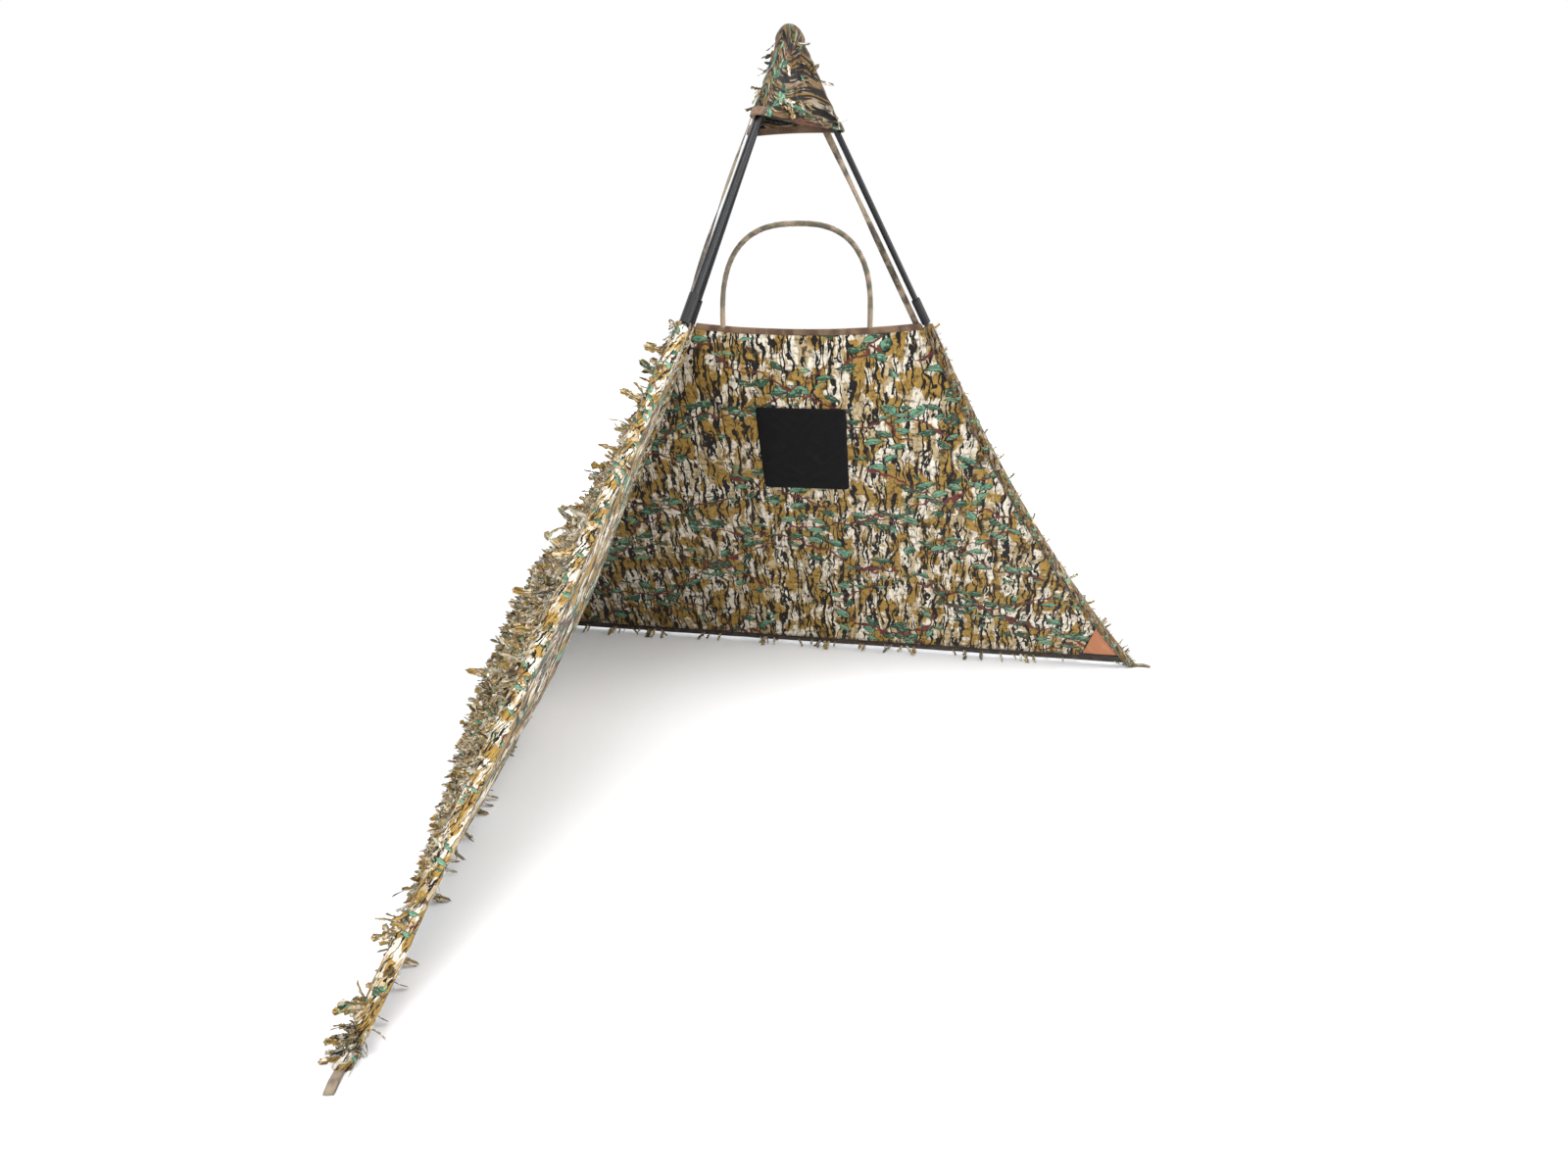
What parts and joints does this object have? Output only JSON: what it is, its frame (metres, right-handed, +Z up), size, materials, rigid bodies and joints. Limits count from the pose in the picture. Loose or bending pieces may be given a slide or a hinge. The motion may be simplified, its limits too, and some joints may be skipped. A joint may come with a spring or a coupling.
{
  "type": "folding ground blind",
  "caption": "Folding field blind: leafy camouflage cloth walls hung between bowed poles that fan out from a hinged hub under a cloth hood, open at the front.",
  "frame": {"origin": "bottom centre of the part's box, on the floor between the feet", "axes": "+Z up; +X to the right for someone looking in at the open front; +Y to the corner pole at the back"},
  "size_m": [2.297, 1.5773, 1.5346],
  "materials": {
    "moulding": "black moulded nylon",
    "pin_steel": "bright pin",
    "pole": "graphite-black fibre pole",
    "foot_rubber": "matt black",
    "lining": "printed bark-like camouflage, finely crinkled",
    "leaf_cloth": "printed cloth with leaf-cut flaps",
    "binding": "brown folded tape",
    "webbing": "tan flat webbing",
    "pocket": "tan coated cloth",
    "patch": "plain black coated cloth",
    "covered_rod": "rod in a camouflage cloth tube"
  },
  "bodies": {
    "corner_frame": {"hub_body": "moulding", "hub_cap": "moulding", "left_pin": "pin_steel", "right_pin": "pin_steel", "corner_pole_upper": "pole", "corner_pole_lower": "pole", "corner_collar": "moulding", "corner_foot": "foot_rubber", "corner_sleeve": "leaf_cloth", "corner_strap": "webbing", "corner_stake_loop": "webbing", "left_lining": "lining", "left_leaf_layer": "leaf_cloth", "left_top_hem": "binding", "left_bottom_hem": "binding", "left_corner_pocket": "pocket", "right_lining": "lining", "right_leaf_layer": "leaf_cloth", "right_top_hem": "binding", "right_bottom_hem": "binding", "right_corner_pocket": "pocket", "hood": "leaf_cloth", "hood_hem": "binding", "label_patch": "patch", "carry_hoop": "covered_rod"},
    "left_leg": {"left_knuckle": "moulding", "left_pole_upper": "pole", "left_pole_lower": "pole", "left_collar": "moulding", "left_foot": "foot_rubber", "left_sleeve": "leaf_cloth", "left_strap": "webbing", "left_stake_loop": "webbing"},
    "right_leg": {"right_knuckle": "moulding", "right_pole_upper": "pole", "right_pole_lower": "pole", "right_collar": "moulding", "right_foot": "foot_rubber", "right_sleeve": "leaf_cloth", "right_strap": "webbing", "right_stake_loop": "webbing"}
  },
  "joints": [
    {"name": "left_leg_fold", "type": "hinge", "parent": "corner_frame", "child": "left_leg", "pos_m": [-0.03379, -0.4363, 1.47026], "axis": [0.7412, -0.5636, -0.3646], "range_deg": [0, 53], "deforming": ["left_lining", "left_leaf_layer", "left_top_hem", "left_bottom_hem", "left_corner_pocket", "left_strap"]},
    {"name": "right_leg_fold", "type": "hinge", "parent": "corner_frame", "child": "right_leg", "pos_m": [0.03321, -0.4363, 1.47026], "axis": [0.7412, 0.5636, 0.3646], "range_deg": [0, 53], "deforming": ["right_lining", "right_leaf_layer", "right_top_hem", "right_bottom_hem", "right_corner_pocket", "right_strap", "carry_hoop", "label_patch"]}
  ]
}
